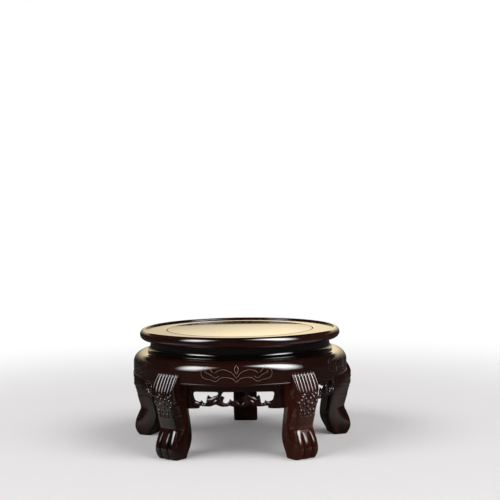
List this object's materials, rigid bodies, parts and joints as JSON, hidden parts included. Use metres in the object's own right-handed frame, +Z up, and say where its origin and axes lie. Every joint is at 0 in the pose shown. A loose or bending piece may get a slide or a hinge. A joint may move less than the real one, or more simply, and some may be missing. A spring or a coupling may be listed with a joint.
{
  "type": "display stand",
  "caption": "Low round hardwood display stand with a lipped framed top, a recessed waist, a bulging apron, curved paw-footed legs and pierced spandrels.",
  "frame": {"origin": "on the floor, under the centre of the round top", "axes": "+Z up; -Y towards the front bay, the one between the two front legs; +X to the right as seen from the front"},
  "size_m": [0.2814, 0.278, 0.142],
  "materials": {
    "polished_wood": "high polish",
    "dark_wood": "high polish",
    "inner_wood": "plain planed"
  },
  "bodies": {
    "root": {"top_frame_right": "polished_wood", "top_frame_back": "polished_wood", "top_frame_left": "polished_wood", "top_frame_front_left": "polished_wood", "top_frame_front_right": "polished_wood", "frame_splines": "inner_wood", "top_panel": "polished_wood", "panel_brace": "inner_wood", "waist_back_right": "dark_wood", "waist_back_left": "dark_wood", "waist_left": "dark_wood", "waist_front": "dark_wood", "waist_right": "dark_wood", "apron_back_right": "polished_wood", "apron_back_left": "polished_wood", "apron_left": "polished_wood", "apron_front": "polished_wood", "apron_right": "polished_wood", "apron_splines": "inner_wood", "leg_right": "polished_wood", "leg_back": "polished_wood", "leg_left": "polished_wood", "leg_front_left": "polished_wood", "leg_front_right": "polished_wood", "spandrel_back_right": "polished_wood", "spandrel_back_left": "polished_wood", "spandrel_left": "polished_wood", "spandrel_front": "polished_wood", "spandrel_right": "polished_wood"}
  },
  "joints": []
}
